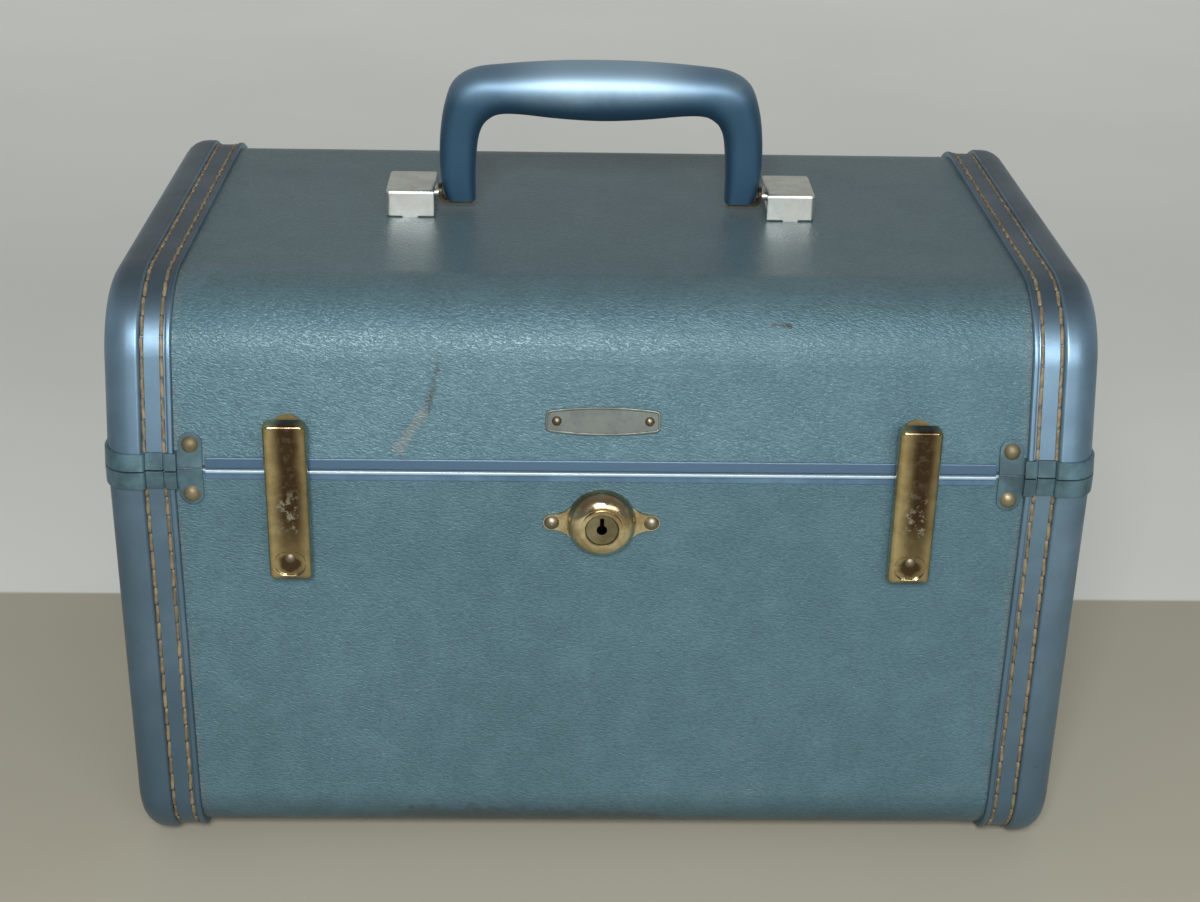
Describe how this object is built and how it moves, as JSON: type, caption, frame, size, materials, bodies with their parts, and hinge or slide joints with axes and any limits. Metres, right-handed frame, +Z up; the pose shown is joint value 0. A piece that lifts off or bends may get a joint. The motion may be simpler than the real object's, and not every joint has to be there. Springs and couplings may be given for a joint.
{
  "type": "vanity case",
  "caption": "Hard-sided vanity case with rounded corners, moulded end caps, spring latches, key lock, folding top handle, hinged lid with a mirror, and a lift-out tray.",
  "frame": {"origin": "on the table, under the middle of the case", "axes": "+X along the case to its right end seen from the front, -Y out of the front with the latches, +Z up"},
  "size_m": [0.3506, 0.2372, 0.2808],
  "materials": {
    "vinyl": "grained vinyl cloth, slightly glossy, teal grey-blue",
    "cap_plastic": "satin metallic blue",
    "strap_metal": "satin teal paint",
    "rail_metal": "pale metallic blue lacquer, rubbed bright on the edge",
    "board": "bare thin board",
    "lining_cloth": "pale blue quilted lining",
    "aged_brass": "aged dull brass",
    "gilt_brass": "polished gilt plate",
    "latch_steel": "plain stamped steel, plated",
    "nickel": "satin nickel plate",
    "hinge_metal": "dull brass plate",
    "handle_plastic": "satin metallic blue moulding",
    "plate_metal": "grey field, bright rim, bare",
    "tray_plastic": "pale blue moulding",
    "mirror_silver": "silvered glass",
    "frame_metal": "satin frame"
  },
  "bodies": {
    "body": {"body_cover": "vinyl", "body_end_cap_left": "cap_plastic", "body_end_cap_right": "cap_plastic", "body_end_channel_left": "strap_metal", "body_end_channel_right": "strap_metal", "body_rail": "rail_metal", "body_shell": "board", "tray_ledges": "board", "body_lining": "lining_cloth", "body_channel_rivets": "aged_brass", "lock_escutcheon": "gilt_brass", "lock_barrel": "gilt_brass", "lock_rivets": "gilt_brass", "latch_base_left": "latch_steel", "latch_base_right": "latch_steel", "latch_pin_left": "latch_steel", "latch_pin_right": "latch_steel", "latch_spring_left": "latch_steel", "latch_spring_right": "latch_steel", "lock_case": "latch_steel", "lock_nut": "latch_steel", "hinge_body_leaves": "hinge_metal", "hinge_pins": "hinge_metal", "body_fixing_rivets": "hinge_metal"},
    "latch_left": {"latch_hasp_left": "gilt_brass", "latch_hook_left": "latch_steel", "latch_hasp_rivet_left": "gilt_brass"},
    "latch_right": {"latch_hasp_right": "gilt_brass", "latch_hook_right": "latch_steel", "latch_hasp_rivet_right": "gilt_brass"},
    "lock_cylinder": {"lock_cylinder": "gilt_brass"},
    "lock_bolt": {"lock_bolt": "latch_steel"},
    "handle": {"handle_grip": "handle_plastic", "handle_pins": "nickel", "handle_screws": "nickel", "handle_link_left": "nickel", "handle_link_right": "nickel"},
    "tray": {"tray": "tray_plastic"},
    "lid": {"lid_shell": "board", "lid_cover": "vinyl", "lid_lining": "lining_cloth", "lid_rail": "rail_metal", "lid_channel_rivets": "aged_brass", "lid_fixing_rivets": "hinge_metal", "lid_mirror": "mirror_silver", "lid_mirror_frame": "frame_metal", "nameplate": "plate_metal", "nameplate_pins": "plate_metal", "lock_striker": "latch_steel", "hinge_lid_leaves": "hinge_metal", "handle_bases": "nickel", "handle_rivets": "nickel", "lid_end_cap_left": "cap_plastic", "lid_end_cap_right": "cap_plastic", "lid_end_channel_left": "strap_metal", "lid_end_channel_right": "strap_metal", "latch_keeper_left": "gilt_brass", "latch_keeper_right": "gilt_brass", "handle_bracket_left": "nickel", "handle_bracket_right": "nickel"}
  },
  "joints": [
    {"name": "lid_hinge", "type": "hinge", "parent": "body", "child": "lid", "pos_m": [0, 0.116, 0.1619], "axis": [-1, 0, 0], "range_deg": [0, 105]},
    {"name": "latch_left_swing", "type": "hinge", "parent": "body", "child": "latch_left", "pos_m": [-0.1105, -0.1146, 0.1231], "axis": [1, 0, 0], "range_deg": [0, 110]},
    {"name": "latch_right_swing", "type": "hinge", "parent": "body", "child": "latch_right", "pos_m": [0.1105, -0.1146, 0.1231], "axis": [1, 0, 0], "range_deg": [0, 110]},
    {"name": "lock_turn", "type": "hinge", "parent": "body", "child": "lock_cylinder", "pos_m": [0, -0.111, 0.1423], "axis": [0, -1, 0], "range_deg": [0, 90]},
    {"name": "lock_bolt_slide", "type": "slide", "parent": "body", "child": "lock_bolt", "axis": [1, 0, 0], "range_m": [0, 0.005]},
    {"name": "handle_swing", "type": "hinge", "parent": "lid", "child": "handle", "pos_m": [0, -0.0005, 0.2285], "axis": [1, 0, 0], "range_deg": [-80, 80]},
    {"name": "tray_lift", "type": "slide", "parent": "body", "child": "tray", "axis": [0, 0, 1], "range_m": [0, 0.02]}
  ],
  "couplings": [
    {"joint": "lock_bolt_slide", "follows": "lock_turn", "m_per_rad": 0.003151}
  ]
}
